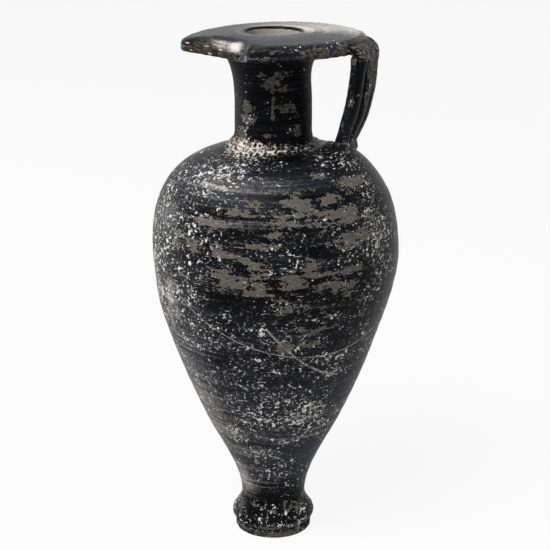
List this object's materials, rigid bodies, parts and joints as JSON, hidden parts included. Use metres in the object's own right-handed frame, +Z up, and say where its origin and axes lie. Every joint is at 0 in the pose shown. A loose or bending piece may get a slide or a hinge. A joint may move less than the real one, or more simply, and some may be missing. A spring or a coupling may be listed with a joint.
{
  "type": "aryballos flask",
  "caption": "Black-slipped ceramic oil flask with an egg-shaped body on a small turned foot, a narrow neck, a flat disc mouth and a ribbed strap handle.",
  "frame": {"origin": "centre of the foot's resting face, on the axis of the pot", "axes": "+Z up along the axis of the pot, +X towards the handle"},
  "size_m": [0.0664, 0.0664, 0.1407],
  "materials": {
    "black_slip": "burnished black slip over grey-brown clay, semi-gloss, scratched and flaked",
    "luting_clay": "matt grey-brown clay with worn slip and pale crust"
  },
  "bodies": {
    "root": {"body": "black_slip", "foot": "black_slip", "neck": "black_slip", "mouth_disc": "black_slip", "handle_rib_front": "black_slip", "handle_rib_middle": "black_slip", "handle_rib_back": "black_slip", "neck_luting": "luting_clay", "handle_foot_luting": "luting_clay", "handle_top_luting": "luting_clay"}
  },
  "joints": []
}
